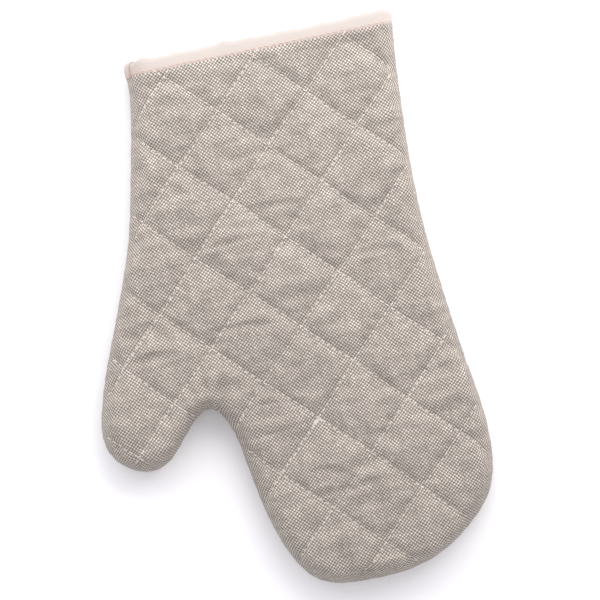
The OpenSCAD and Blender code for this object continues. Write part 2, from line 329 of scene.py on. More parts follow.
class Flat:
    """Points of the flat panel with all that lift() needs to know about them."""

    def __init__(self, points):
        self.points = np.asarray(points, float)
        self.far, self.way, self.place = nearest(self.points)


def lift(side, flat, depth):
    """The points of a flat panel, raised to the surface at a depth below the outside."""
    x, y = flat.points.T
    bumps = relief(side, x, y, depth)
    # the binding presses the layers together at the hem
    pressed = smoothstep((y - HEM_START + 0.5) / 1.5)
    depth = depth + pressed * (1.1 - 2.1 * depth / PANEL)
    angle, arc = side.angle_at(flat.far), side.arc_at(flat.far)
    rounded = depth + (side.turn - depth) * (1 - np.cos(angle))
    inset = np.where(flat.far < side.turn, rounded, flat.far)
    # the border's outward normal: its part along the plan and its part upwards
    out, up = np.cos(angle) / side.turn, np.sin(angle) / side.rise
    size = np.hypot(out, up)
    out, up = out / size, up / size
    # the lining bulges the other way, into the mitt; all is flatter near the seam and the cuff
    share = np.interp(depth, [1.3, PANEL - 1.1], [1, -0.3])
    calm = 1 - 0.9 * smoothstep((y - HEM_START + 9) / 9)
    swell = bumps * share * smoothstep((arc - 2) / 13) * calm
    wrinkle = 1 + 0.3 * np.cos(flat.place / 1.35 + 2 * np.sin(flat.place / 6.1))
    # the seam draws the outer half of the panel in, with small gathers beside it
    valley = VALLEY_DEPTH * np.exp(-((arc / VALLEY_WIDTH) ** 2)) * wrinkle * (depth < PANEL / 2)
    ripple = np.cos(flat.place / 1.7 + 1.5 * np.sin(flat.place / 7.7))
    valley = valley + 0.16 * np.exp(-arc / 7) * ripple * smoothstep(arc / 3)
    valley = valley * (1 - smoothstep((y - HEM_START + 6) / 5))
    across = inset - flat.far + valley - swell * out
    xy = flat.points + flat.way * across[:, None]
    lazy = sway(side, x, y) * smoothstep(arc / side.arc[-1]) ** 2
    z = SEAM_HEIGHT + side.way * ((side.rise - depth) * np.sin(angle) + swell * up + lazy)
    return np.column_stack([xy, np.maximum(z, ABOVE_TABLE + 0.9 * depth)])


def cloth_place(side, flat):
    """Where each point lies on the flat cloth, so that the weave isn't stretched."""
    rest = side.turn - np.minimum(flat.far, side.turn)
    extra = (side.arc[-1] - side.arc_at(flat.far)) - rest
    return flat.points - flat.way * extra[:, None]


# ---------------------------------------------------------------- meshes of the panels


def in_fingers(points):
    """Which flat points lie on the finger piece of a layer."""
    return (points[:, 1] < SPLIT_Y) & (points[:, 0] > CROTCH[0])


def part_of(made, part):
    """The faces of a flat panel that belong to the fingers, or to the rest."""
    flat, faces = made
    fingers = in_fingers(flat.points[faces].mean(1))
    return faces[fingers if part == "fingers" else ~fingers]


def edges_of(faces):
    """The three edges of each triangle."""
    return np.vstack([faces[:, [0, 1]], faces[:, [1, 2]], faces[:, [2, 0]]])


def quilting_points(spacing):
    """Points along all the quilting lines."""
    points = []
    for family in (FALLING, RISING):
        way, square = line_ways(family)
        along = np.arange(-230, 230, spacing)  # reaches past the mitt both ways
        for number in LINES:
            off = family["start"] + number * family["pitch"] + line_offset(family, number, along)
            points.append(along[:, None] * way + off[:, None] * square)
    return np.vstack(points)


def plan(side, spacing):
    """A triangulated flat panel, with rings that follow its border and an edge at SPLIT_Y."""
    sides = [p for p in resample(OUTLINE, spacing)[0] if p[1] < HEM_END - 0.3]
    left, right = side_at(HEM_END, False), side_at(HEM_END, True)
    top = np.linspace(right, left, int((right - left) / spacing))
    border = [*sides, *[(x, HEM_END) for x in top]]
    outline = Flat(np.array(sides))
    rings, rows = [], []
    steps = max(4, int(side.arc[-1] / spacing))
    for k in range(1, steps + 1):
        inset = side.turn * (1 - math.cos(math.pi / 2 * k / steps))
        loop = outline.points + outline.way * inset
        rings.append(loop[nearest(loop)[0] > inset - 0.08 * spacing])
    wide = np.arange(-HALF_WIDE, HALF_WIDE, spacing)
    for k, y in enumerate(np.arange(LOWEST, HEM_END, spacing * 0.866)):  # even triangles
        row = np.column_stack([wide + spacing / 2 * (k % 2), np.full(len(wide), y)])
        rows.append(row[(nearest(row)[0] > side.turn + spacing / 2) & inside(row)])
    inner = np.vstack(rings + rows)
    across = [np.abs(line_coordinates(f, *inner.T)[0]) for f in (FALLING, RISING)]
    off_lines = (np.minimum(*across) > 0.4 * spacing) | (nearest(inner)[0] < side.turn / 2)
    quilted = quilting_points(0.9 * spacing)
    quilted = quilted[inside(quilted)]
    quilted = quilted[nearest(quilted)[0] > side.turn / 2]
    inner = np.vstack([inner[off_lines], quilted])
    keep = (inner[:, 1] < HEM_END - spacing / 2) & (
        (np.abs(inner[:, 1] - SPLIT_Y) > spacing / 3) | (inner[:, 0] < CROTCH[0])
    )
    inner = inner[keep]
    split = np.array([(x, SPLIT_Y) for x in np.arange(CROTCH[0], 108, spacing)])
    split = split[inside(split) & (nearest(split)[0] > 0.4 * spacing)]
    points = [Vector(p) for p in [*border, *split, *inner]]
    n, m = len(border), len(split)
    edges = [(i, (i + 1) % n) for i in range(n)] + [(n + i, n + i + 1) for i in range(m - 1)]
    made = delaunay_2d_cdt(points, edges, [list(range(n))], 1, 1e-5)
    corners = np.array([(p.x, p.y) for p in made[0]])
    faces = np.array([f for f in made[2] if len(f) == 3])
    middle = corners[faces].mean(1)
    faces = faces[inside(middle)]
    used, renumbered = np.unique(faces, return_inverse=True)
    return Flat(corners[used]), renumbered.reshape(faces.shape)


def inside(points):
    """Which points lie inside the mitt's outline."""
    x, y = points.T
    hits = np.zeros(len(points), int)
    loop = np.vstack([OUTLINE, OUTLINE[:1]])
    for (x1, y1), (x2, y2) in zip(loop, loop[1:]):
        crosses = (y1 > y) != (y2 > y)
        hits += crosses & (x < (x2 - x1) * (y - y1) / (y2 - y1 + 1e-12) + x1)
    return hits % 2 == 1


def corner_normals(points, faces):
    """The surface's own normal at each point."""
    a, b, c = (points[faces[:, k]] for k in range(3))
    face = np.cross(b - a, c - a)
    total = np.zeros(points.shape)
    for k in range(3):
        np.add.at(total, faces[:, k], face)
    return unit(total)


def make_object(name, points, faces, material, uv=None, normals=None):
    """A mesh object from points in mm; uv and normals are given for each face corner."""
    mesh = bpy.data.meshes.new(name)
    mesh.from_pydata((np.asarray(points) * MM).tolist(), [], [list(map(int, f)) for f in faces])
    mesh.polygons.foreach_set("use_smooth", [True] * len(mesh.polygons))
    if uv is not None:
        layer = mesh.uv_layers.new(name="cloth")
        layer.data.foreach_set("uv", (np.asarray(uv) * MM).astype(np.float32).ravel())
    mesh.materials.append(material)
    if normals is not None:
        mesh.normals_split_custom_set(np.asarray(normals).tolist())
    piece = bpy.data.objects.new(name, mesh)
    bpy.context.scene.collection.objects.link(piece)
    return piece


def settled(side, made):
    """How far each point of the outer cloth moves as it settles, by a short cloth simulation.

    The cloth is a little longer than its place. It is held along the stitches and the border.
    """
    flat, faces = made
    start = lift(side, flat, 0)
    across = [np.abs(line_coordinates(f, *flat.points.T)[0]) for f in (FALLING, RISING)]
    held = (np.minimum(*across) < 0.3) | (flat.far < 1.5) | (flat.points[:, 1] > HEM_START - 1)
    mesh = bpy.data.meshes.new("settling")
    mesh.from_pydata((start * MM).tolist(), [], faces.tolist())
    piece = bpy.data.objects.new("settling", mesh)
    scene = bpy.context.scene
    scene.collection.objects.link(piece)
    piece.vertex_groups.new(name="held").add(np.flatnonzero(held).tolist(), 1, "REPLACE")
    cloth = piece.modifiers.new("cloth", "CLOTH")
    cloth.collision_settings.use_collision = False
    cloth.point_cache.frame_start, cloth.point_cache.frame_end = 1, SETTLING_FRAMES
    fabric = cloth.settings
    fabric.quality, fabric.mass, fabric.air_damping = 4, 0.3, 8
    fabric.tension_stiffness = fabric.compression_stiffness = 20
    fabric.shear_stiffness, fabric.bending_stiffness = 8, 2.0
    fabric.vertex_group_mass = "held"
    fabric.shrink_min = -SPARE
    fabric.effector_weights.gravity = 0
    for number in range(1, SETTLING_FRAMES + 1):
        scene.frame_set(number)
    shown = piece.evaluated_get(bpy.context.evaluated_depsgraph_get())
    end = np.array([v.co for v in shown.data.vertices]) / MM
    scene.frame_set(1)
    bpy.data.objects.remove(piece)
    move = end - start
    edges = edges_of(faces)
    for _ in range(2):  # evens out what is finer than the cloth's own thickness
        total, count = move.copy(), np.ones(len(move))
        np.add.at(total, edges[:, 0], move[edges[:, 1]])
        np.add.at(count, edges[:, 0], 1)
        move = np.where(held[:, None], move, total / count[:, None])
    size = np.linalg.norm(move, axis=1)
    share = np.minimum(1, LONGEST_MOVE / np.maximum(size, 1e-9)) * smoothstep(flat.far / 5)
    return move * share[:, None]


def shell(name, side, layer, made, part, material, move=0):
    """One layer of a panel, closed between its two faces, for the fingers or for the rest."""
    flat, faces = made
    top, bottom = (lift(side, flat, depth) + move for depth in LAYERS[layer])
    # the cloth does not sink into the table as it settles
    top[:, 2] = np.maximum(top[:, 2], ABOVE_TABLE)
    bottom[:, 2] = np.maximum(bottom[:, 2], 0.5)
    if side is BACK:
        faces = faces[:, ::-1]
    normal_top, normal_bottom = corner_normals(top, faces), corner_normals(bottom, faces)
    place = cloth_place(side, flat)
    faces = part_of((flat, faces), part)
    used, renumbered = np.unique(faces, return_inverse=True)
    faces = renumbered.reshape(faces.shape)
    n = len(used)
    edges = edges_of(faces)
    key = np.sort(edges, 1)
    _, first, count = np.unique(key, axis=0, return_index=True, return_counts=True)
    rim = edges[first[count == 1]]
    points = np.vstack([top[used], bottom[used]])
    quads = np.column_stack([rim[:, 1], rim[:, 0], rim[:, 0] + n, rim[:, 1] + n])
    all_faces = [*faces, *(faces[:, ::-1] + n), *quads]
    a, b, c = (points[quads[:, k]] for k in range(3))
    outer = normal_top[used][faces].reshape(-1, 3)
    inner = -normal_bottom[used][faces[:, ::-1]].reshape(-1, 3)
    between = np.repeat(unit(np.cross(b - a, c - a)), 4, 0)
    normals = np.vstack([outer, inner, between])
    spots = np.vstack([place[used], place[used]])
    uv = np.vstack([spots[np.asarray(f)] for f in all_faces])
    return make_object(name, points, all_faces, material, uv, normals)


def cloth_area(side, made, part):
    """Flat area of a piece of cloth in square metres, and the width and length it is cut from."""
    place, faces = cloth_place(side, made[0]), part_of(made, part)
    a, b, c = (place[faces[:, k]] for k in range(3))
    area = np.abs((b - a)[:, 0] * (c - a)[:, 1] - (b - a)[:, 1] * (c - a)[:, 0]).sum() / 2
    size = np.ptp(place[np.unique(faces)], axis=0)
    return area * MM * MM, tuple(float(s) * MM for s in size)


# ---------------------------------------------------------------- threads and tapes


def tube(path, width, height, up, sides=6, taper=True):
    """Points and faces of a rounded strand along a path, flattened square to up."""
    path = np.asarray(path, float)
    along = unit(np.gradient(path, axis=0))
    across = unit(np.cross(along, up))
    upwards = np.cross(across, along)
    n = len(path)
    size = np.ones((n, 1, 1))
    if taper:  # the ends of a stitch are thinner
        size[[0, -1]] = 0.65
    turn = np.arange(sides)[None, :, None] * 2 * math.pi / sides
    sideways = across[:, None] * (np.cos(turn) * width / 2) * size
    points = path[:, None] + sideways + upwards[:, None] * (np.sin(turn) * height / 2) * size
    points = points.reshape(-1, 3)
    faces = []
    for i in range(n - 1):
        for k in range(sides):
            m = (k + 1) % sides
            faces.append((i * sides + k, (i + 1) * sides + k, (i + 1) * sides + m, i * sides + m))
    faces.append(tuple(range(sides)))
    faces.append(tuple((n - 1) * sides + k for k in reversed(range(sides))))
    return points, faces


def join(parts):
    """Several (points, faces) as one."""
    points, faces, start = [], [], 0
    for p, f in parts:
        points.append(p)
        faces += [tuple(int(i) + start for i in face) for face in f]
        start += len(p)
    return np.vstack(points), faces


def stitch_centres(family):
    """The family's way and square, and the middle, lean and length of each of its stitches."""
    rng = np.random.default_rng(family["seed"] + 10)
    way, square = line_ways(family)
    made = []
    for number in LINES:
        base = family["start"] + number * family["pitch"]
        at = -260 + rng.uniform(0, 3)
        while at < 260:
            long = rng.uniform(*STITCH_LENGTHS)
            gap = rng.uniform(*STITCH_GAPS)
            middle = at + long / 2
            off = base + line_offset(family, number, np.array(middle)) + rng.normal(0, 0.1)
            made.append((way * middle + square * off, rng.normal(0, 0.05), long))
            at += long + gap
    return way, square, made


def quilting(side, part):
    """Every stitch of the quilting on one panel, outside and on the lining."""
    dashes = []
    for family in (FALLING, RISING):
        way, square, made = stitch_centres(family)
        centres = np.array([m[0] for m in made])
        x, y = centres.T
        box = (np.abs(x) < HALF_WIDE) & (y > LOWEST) & (y < HEM_START + 1)
        made = [m for m, ok in zip(made, box) if ok]
        centres = centres[box]
        keep = inside(centres) & (nearest(centres)[0] > 2.5)
        keep &= in_fingers(centres) == (part == "fingers")
        made = [m for m, ok in zip(made, keep) if ok]
        for depth, sign in ((-0.28, 1), (LAYERS["lining"][1] + 0.2, -1)):
            steps = np.linspace(-0.5, 0.5, 5 if sign > 0 else 3)
            flat = Flat(
                [c + (way + square * lean) * long * s for c, lean, long in made for s in steps]
            )
            ends = np.tile(0.35 * (2 * np.abs(steps)) ** 4, len(made)) * sign
            path = lift(side, flat, depth)
            sunk = lift(side, flat, depth + 0.5 * sign) - path
            path[:, 2] = np.maximum(path[:, 2], 0.25)
            path = path + sunk * 2 * ends[:, None]
            up = -unit(sunk)
            for i in range(len(made)):
                row = slice(i * len(steps), (i + 1) * len(steps))
                dashes.append(tube(path[row], *QUILTING_STITCH, up[row], 6 if sign > 0 else 4))
    return join(dashes)


def ring():
    """Points round the outside of the cuff at CUFF_Y: over the palm and back under the back."""
    left, right = side_at(CUFF_Y, False), side_at(CUFF_Y, True)
    loop = []
    for side in (PALM, BACK):
        near = side.turn * (1 - np.cos(np.linspace(0, math.pi / 2, 24)))
        middle = np.linspace(left + side.turn, right - side.turn, 75)
        x = np.concatenate([left + near, middle[1:-1], (right - near)[::-1]])
        flat = Flat(np.column_stack([x, np.full(len(x), CUFF_Y)]))
        angle = side.angle_at(flat.far)
        lazy = sway(side, x, CUFF_Y) * smoothstep(side.arc_at(flat.far) / side.arc[-1]) ** 2
        z = SEAM_HEIGHT + side.way * (side.rise * np.sin(angle) + lazy)
        points = np.column_stack([flat.points, z])
        loop.append(points[:-1] if side is PALM else points[::-1][:-1])
    return np.vstack(loop)


def cuff_path():
    """An even path round the hem, the distance along it, and the outward way at each point."""
    loop = ring()
    path, run = resample(np.vstack([loop, loop[:1]]), 1.0)
    path, run = path[:-1], run[:-1]
    along = np.roll(path, -1, 0) - np.roll(path, 1, 0)
    out = np.column_stack([-along[:, 2], np.zeros(len(along)), along[:, 0]])
    return path, run, unit(out)


def cuff_slope(path):
    """How far the leaning side of the cuff moves across for each millimetre of y."""
    left, right = side_at(CUFF_Y, False), side_at(CUFF_Y, True)
    share = (path[:, 0] - left) / (right - left)
    return CUFF_SLOPES[0] + share * (CUFF_SLOPES[1] - CUFF_SLOPES[0])


def tape_profile():
    """(depth, y) along the tape from its outer edge over the hem to its inner edge."""
    outer = [(0.62, TAPE_LOW), (0.38, TAPE_LOW + 0.5), (0.34, TAPE_LOW + 1.3)]
    outer += [(0.12, 153), (0.0, 154.5), (0.1, 156.4), (0.6, 157.9), (1.4, 158.7)]
    over = [(2.3, 159.1), (3.4, 159.1), (4.3, 158.7)]
    inner = [(5.2, 157.7), (5.5, 156.1), (5.5, 154.1), (5.4, 152.5), (5.2, 151.4)]
    return outer + over + inner


def lapped(run, total):
    """How far the tape stands off the hem as its end comes to lie on its start."""
    return LAP * smoothstep((run - total + 10) / 10)


def tape_points(path, out, profile, bumps):
    """Sweeps the tape's profile of (depth, y) round the hem, moved by bumps of (push, rise)."""
    slope = cuff_slope(path)
    rows = []
    for (depth, y), (push, rise) in zip(profile, bumps):
        base = path.copy()
        base[:, 0] += (y - CUFF_Y) * slope
        base[:, 1] = y + rise
        rows.append(base - out * (depth - push)[:, None])
    return np.array(rows)


def tape_bumps(profile, inward, run, total):
    """How far each row of the tape is pushed out and raised, round the cuff."""
    raised = lapped(run, total)
    turn = run / total * 2 * math.pi
    lumps = sum(up * np.exp(-(((run - at) / wide) ** 2)) for at, wide, up in LUMPS)
    bumps = []
    for (depth, y), (in_depth, in_y) in zip(profile, inward):
        height = max(0, (y - TAPE_LOW) / (TAPE_TOP - TAPE_LOW))
        ripple = np.sin(2 * math.pi * (run + 0.9 * y) / 3.1 + 1.5 * np.sin(turn * 9))
        bias = 0.12 * ripple * math.sin(math.pi * min(height, 1))
        soft = 0.16 * np.sin(turn * 23 + 2 * np.sin(turn * 5)) * height
        push = (bias + soft + 0.25 * lumps * height) * (1 if depth < 3 else -0.6)
        rise = height * (0.22 * np.sin(turn * 17 + 1) + 0.18 * np.sin(turn * 41 + 2) - 0.25)
        rise = rise + height**2 * lumps
        bumps.append((push + raised * in_depth, rise - raised * in_y))
    return bumps


def cuff_binding():
    """The folded tape over the hem, swept once round the cuff and a little further."""
    path, run, out = cuff_path()
    step = run[1] - run[0]
    total = run[-1] + step
    columns = len(path) + int(LAP_LENGTH / step)
    turned = np.arange(columns) % len(path)
    path, out, run = path[turned], out[turned], np.arange(columns) * step
    fine = resample(np.array(tape_profile()), 0.9)[0]
    slope = np.gradient(fine, axis=0)
    inward = unit(np.column_stack([slope[:, 1], -slope[:, 0]]))
    bumps = tape_bumps(fine, inward, run, total)
    outside = tape_points(path, out, fine, bumps)
    inner = tape_points(path, out, fine + inward * TAPE, bumps)
    skins = np.vstack([outside, inner[::-1]])
    rows = len(skins)
    across = np.concatenate([[0], np.cumsum(np.linalg.norm(np.diff(fine, axis=0), axis=1))])
    v = np.concatenate([across, across[::-1]])
    faces, uv = [], []
    for i in range(rows):
        j = (i + 1) % rows
        for k in range(columns - 1):
            corners = ((i, k), (i, k + 1), (j, k + 1), (j, k))
            faces.append(tuple(row * columns + column for row, column in corners))
            uv += [(run[column], v[row]) for row, column in corners]
    for i in range(rows // 2 - 1):  # the two ends of the tape
        corners = (i, i + 1, rows - 2 - i, rows - 1 - i)
        for k, order in ((0, corners), (columns - 1, corners[::-1])):
            faces.append(tuple(row * columns + k for row in order))
            uv += [(run[k], v[row]) for row in order]
    skins[:, :, 2] = np.maximum(skins[:, :, 2], ABOVE_TABLE)
    return skins.reshape(-1, 3), faces, uv


def edge_stitches(y, depth, way, seed):
    """A row of stitches round the cuff, on the outside if way is 1 and on the inside if -1."""
    rng = np.random.default_rng(seed)
    path, run, out = cuff_path()
    slope = cuff_slope(path)
    n = len(path)
    depth = depth - way * np.where(run < LAP_LENGTH, LAP, lapped(run, run[-1]))
    dashes = []
    for k in range(0, n - 3, 4):
        steps = np.arange(k, k + 4)
        line = path[steps % n].copy()
        line[:, 0] += (y - CUFF_Y) * slope[steps % n]
        line[:, 1] = y + rng.normal(0, 0.07)
        sink = np.array([0.35, 0, 0, 0.35]) * way
        line -= out[steps % n] * (depth[steps % n] + sink)[:, None]
        dashes.append(tube(line, *EDGE_STITCH, out[steps % n]))
    return dashes


# ---------------------------------------------------------------- the side seam


UPWARDS = np.array([0, 0, 1.0])


def seam_line(inset, spacing):
    """A path that runs round the mitt inside its outline, from cuff to cuff."""
    outline = Flat(OUTLINE)
    line = outline.points + outline.way * inset
    line = line[nearest(line)[0] > inset - 0.05]
    line = line[line[:, 1] < SEAM_END]
    return resample(line, spacing)[0]


def parted(path):
    """The stretches of a path that belong to the fingers and to the rest."""
    fingers = in_fingers(path)
    cuts = np.flatnonzero(np.diff(fingers.astype(int))) + 1
    runs = np.split(np.arange(len(path)), cuts)
    made = {"fingers": [], "main": []}
    for run in runs:
        if len(run) > 3:
            run = np.append(run, run[-1] + 1) if run[-1] + 1 < len(path) else run
            made["fingers" if fingers[run[0]] else "main"].append(path[run])
    return made


def seam_thread(part):
    """The stitches that hold the two panels together, down in the valley between them."""
    rng = np.random.default_rng(21)
    dashes = []
    for path in parted(seam_line(SEAM_INSET, 0.9))[part]:
        for k in range(0, len(path) - 4, 4):
            line = np.column_stack([path[k : k + 4], np.full(4, SEAM_HEIGHT)])
            line[:, 2] += rng.normal(0, 0.15) + np.array([-0.25, 0, 0, 0.25])
            dashes.append(tube(line, *SEAM_STITCH, UPWARDS))
    return join(dashes)


def allowance(part):
    """The overlocked edge of all the layers, turned to the inside of the mitt."""
    strips = []
    spacing, sides = 1.4, 12
    for path in parted(seam_line(ALLOWANCE_INSET, spacing))[part]:
        n = len(path)
        run = np.arange(n) * spacing
        wave = 0.35 * np.sin(run / 5.3) + 0.2 * np.sin(run / 2.1)
        line = np.column_stack([path, SEAM_HEIGHT + wave])
        points, faces = tube(line, *ALLOWANCE_SIZE, UPWARDS, sides, taper=False)
        strips.append((points, faces))
        rows = points.reshape(n, sides, 3)
        for k in range(1, n - 1, 2):  # one loop of the overlocking thread over the edge
            loop = np.vstack([rows[k], rows[k][:1]])
            middle = rows[k].mean(0)
            loop = middle + (loop - middle) * 1.06
            along = rows[k + 1].mean(0) - rows[k - 1].mean(0)
            along = along / np.linalg.norm(along)
            strips.append(tube(loop, *OVERLOCK_LOOP, along, 4, taper=False))
    return join(strips)


# ---------------------------------------------------------------- materials


def srgb(red, green, blue):
    """A colour given as 0 to 255 in sRGB, in linear light."""
    made = []
    for value in (red, green, blue):
        v = value / 255
        made.append(v / 12.92 if v <= 0.04045 else ((v + 0.055) / 1.055) ** 2.4)
    return (*made, 1)


class Graph:
    """A material's shader nodes, written as short calls."""

    def __init__(self, name, roughness, sheen):
        self.material = bpy.data.materials.new(name)
        self.material.use_nodes = True
        self.tree = self.material.node_tree
        self.shader = self.tree.nodes["Principled BSDF"]
        self.shader.inputs["Roughness"].default_value = roughness
        self.shader.inputs["Specular IOR Level"].default_value = 0.2
        self.shader.inputs["Sheen Weight"].default_value = sheen
        self.shader.inputs["Sheen Roughness"].default_value = 0.5

    def set(self, socket, value):
        if isinstance(value, bpy.types.NodeSocket):
            self.tree.links.new(value, socket)
        else:
            socket.default_value = value

    def node(self, kind, values=(), **settings):
        made = self.tree.nodes.new(kind)
        for key, value in settings.items():
            setattr(made, key, value)
        for key, value in dict(values).items():
            self.set(made.inputs[key], value)
        return made

    def math(self, operation, *values):
        return self.node("ShaderNodeMath", dict(enumerate(values)), operation=operation).outputs[0]

    def plus(self, a, b):
        return self.math("ADD", a, b)

    def minus(self, a, b):
        return self.math("SUBTRACT", a, b)

    def times(self, a, b):
        return self.math("MULTIPLY", a, b)

    def over(self, a, b):
        return self.math("DIVIDE", a, b)

    def sine(self, a):
        return self.math("SINE", a)

    def noise(self, vector, scale, detail=2, rough=0.5):
        values = {"Vector": vector, "Scale": scale, "Detail": detail, "Roughness": rough}
        return self.node("ShaderNodeTexNoise", values).outputs["Fac"]

    def random(self, vector):
        return self.node("ShaderNodeTexWhiteNoise", {"Vector": vector}).outputs["Value"]

    def vector(self, x, y, z=0.0):
        return self.node("ShaderNodeCombineXYZ", {0: x, 1: y, 2: z}).outputs[0]

    def mix(self, share, a, b):
        values = {"Factor": share, 6: a, 7: b}
        return self.node("ShaderNodeMix", values, data_type="RGBA").outputs[2]

    def place(self, wide, long):
        """(u, v) on the flat cloth, counted in threads of these widths in mm."""
        uv = self.node("ShaderNodeUVMap", uv_map="cloth").outputs[0]
        split = self.node("ShaderNodeSeparateXYZ", {0: uv})
        x, y = split.outputs[:2]
        return uv, self.over(x, wide * MM), self.over(y, long * MM)

    def darkened(self, colour, shade):
        """A colour times a grey value."""
        grey = self.node("ShaderNodeCombineColor", {0: shade, 1: shade, 2: shade}).outputs[0]
        values = {"Factor": 1.0, 6: colour, 7: grey}
        made = self.node("ShaderNodeMix", values, data_type="RGBA", blend_type="MULTIPLY")
        return made.outputs[2]

    def scaled(self, value, low, high):
        """A value from 0 to 1, taken to the range from low to high."""
        return self.math("MULTIPLY_ADD", value, high - low, low)

    def bump(self, height, distance, strength):
        values = {"Height": height, "Distance": distance * MM, "Strength": strength}
        self.set(self.shader.inputs["Normal"], self.node("ShaderNodeBump", values).outputs[0])

    def paint(self, colour):
        self.set(self.shader.inputs["Base Color"], colour)


def woven(name, wide, long, warp, weft, uneven, slub, sheen):
    """Plain weave: warp threads along the mitt and weft threads across it, over and under.

    The threads differ in tone by the share uneven, and each along itself by the share slub.
    """
    g = Graph(name, 0.9, sheen)
    uv, u, v = g.place(wide, long)
    drift = g.scaled(g.noise(uv, 260, 1), -0.35, 0.35)
    u, v = g.plus(u, drift), g.plus(v, drift)
    column, row = g.math("FLOOR", u), g.math("FLOOR", v)
    parity = g.math("FLOORED_MODULO", g.plus(column, row), 2.0)
    # a thread is highest in the middle of its float and dips where it goes under
    in_u = g.sine(g.times(g.math("FRACT", u), math.pi))
    in_v = g.sine(g.times(g.math("FRACT", v), math.pi))
    narrow_u = g.math("POWER", in_u, g.scaled(parity, 0.22, 0.75))
    narrow_v = g.math("POWER", in_v, g.scaled(parity, 0.75, 0.22))
    crown = g.times(narrow_u, narrow_v)
    each_warp = g.random(g.vector(column, 3.0))
    each_weft = g.random(g.vector(5.0, row))
    along_warp = g.noise(g.vector(g.times(column, 7.3), g.times(v, 0.06)), 1)
    along_weft = g.noise(g.vector(g.times(u, 0.05), g.times(row, 5.1)), 1)

    def tone_of(each, along):
        return g.times(g.scaled(each, 1 - uneven, 1 + uneven), g.scaled(along, 1 - slub, 1 + slub))

    warp_tone, weft_tone = tone_of(each_warp, along_warp), tone_of(each_weft, along_weft)
    tone = g.plus(g.times(parity, warp_tone), g.times(g.minus(1.0, parity), weft_tone))
    cell = g.scaled(g.random(g.vector(column, row, 2.0)), 0.9, 1.1)
    cloudy = g.scaled(g.noise(uv, 34, 3), 0.93, 1.07)
    cloudy = g.times(cloudy, g.scaled(g.noise(uv, 210, 2), 0.86, 1.14))
    shade = g.times(g.times(tone, cell), cloudy)
    streaks = g.noise(g.vector(g.times(u, 0.05), g.times(v, 0.45)), 1, 3)
    shade = g.times(shade, g.scaled(streaks, 1 - 1.6 * slub, 1 + 1.6 * slub))
    # painted shade: darker where each thread dips under its neighbour
    shade = g.times(shade, g.scaled(crown, 0.62, 1.06))
    g.paint(g.darkened(g.mix(parity, weft, warp), shade))
    fuzz = g.noise(uv, 2600, 2)
    g.bump(g.plus(crown, g.times(fuzz, 0.35)), 0.22, 0.6)
    return g.material


def fleece(name, light, dark):
    """Matted fibres of the wadding."""
    g = Graph(name, 1.0, 0.3)
    uv = g.place(1, 1)[0]
    tufts = g.noise(uv, 180, 5, 0.7)
    strands = g.noise(uv, 1500, 3)
    g.paint(g.mix(g.times(tufts, strands), dark, light))
    g.bump(g.plus(tufts, g.times(strands, 0.4)), 0.8, 0.7)
    return g.material


def tape_cloth(name, cream, pink, fold_shade, length):
    """Fine cloth cut on the bias: its threads run slantwise over the tape."""
    g = Graph(name, 0.85, 0.25)
    uv, u, v = g.place(0.55, 0.55)
    rising = g.sine(g.times(g.plus(u, v), math.pi))
    falling = g.sine(g.times(g.minus(u, v), math.pi))
    cloudy = g.noise(uv, 70, 3)
    x, y = g.node("ShaderNodeSeparateXYZ", {0: uv}).outputs[:2]
    # painted shade: pinker along the stitched edge and at the left end, where the tape is doubled;
    # cloudy tone and bias ribs are mixed in
    low = g.math("SMOOTH_MIN", g.over(y, 2.2 * MM), 1.0, 0.3)
    round_cuff = g.math("PINGPONG", x, length * MM / 2)
    end = g.math("SMOOTH_MIN", g.over(round_cuff, 28 * MM), 1.0, 0.3)
    shade_and_tone = g.minus(1.0, g.times(g.scaled(low, 0.35, 1.0), end))
    shade_and_tone = g.plus(g.times(shade_and_tone, 0.8), g.scaled(cloudy, -0.1, 0.2))
    ribs = g.sine(g.times(g.plus(u, v), 2.1))
    shade_and_tone = g.plus(shade_and_tone, g.times(ribs, 0.16))
    share = g.node("ShaderNodeClamp", {0: shade_and_tone}).outputs[0]
    # greyer over the fold: painted shade on the fold's top, which faces the lamps
    over = g.math("ABSOLUTE", g.minus(y, 10 * MM))
    over = g.math("SMOOTH_MIN", g.over(over, 6.5 * MM), 1.0, 0.3)
    g.paint(g.mix(over, fold_shade, g.mix(share, cream, pink)))
    g.bump(g.times(rising, falling), 0.08, 0.5)
    return g.material


def yarn(name, light, dark):
    """Spun thread, a little uneven."""
    g = Graph(name, 0.7, 0.2)
    place = g.node("ShaderNodeTexCoord").outputs["Generated"]
    twist = g.noise(place, 900, 2)
    patches = g.noise(place, 60, 1)
    g.paint(g.mix(g.times(g.plus(twist, patches), 0.5), dark, light))
    g.bump(twist, 0.05, 0.5)
    return g.material


OUTER = woven(
    "outer_cloth",
    wide=1.10,
    long=1.07,
    warp=srgb(201, 191, 181),
    weft=srgb(124, 118, 111),
    uneven=0.05,
    slub=0.14,
    sheen=0.1,
)
LINING = woven(
    "lining_cloth",
    wide=0.7,
    long=0.7,
    warp=srgb(226, 219, 206),
    weft=srgb(214, 206, 192),
    uneven=0.04,
    slub=0.08,
    sheen=0.15,
)
WADDING = fleece("wadding_fleece", srgb(236, 232, 224), srgb(196, 190, 180))
BINDING = tape_cloth(
    "binding_tape",
    cream=srgb(201, 192, 185),
    # pink for the painted shade along the stitched edge and at the lapped end
    pink=srgb(182, 154, 145),
    # painted shade for the top of the fold
    fold_shade=srgb(173, 166, 162),
    length=CUFF_ROUND,
)
THREAD = yarn("thread", srgb(232, 226, 217), srgb(200, 192, 182))
BINDING_THREAD = yarn("binding_thread", srgb(214, 192, 178), srgb(192, 164, 152))
OVERLOCK = yarn("overlock_thread", srgb(226, 219, 206), srgb(190, 182, 170))

# ---------------------------------------------------------------- the pieces


def bend(piece, part):
    """Bakes a piece's placing into its mesh, for the finger pieces as for the rest."""
    if part == "fingers":
        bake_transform(piece)
    else:
        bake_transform(piece)


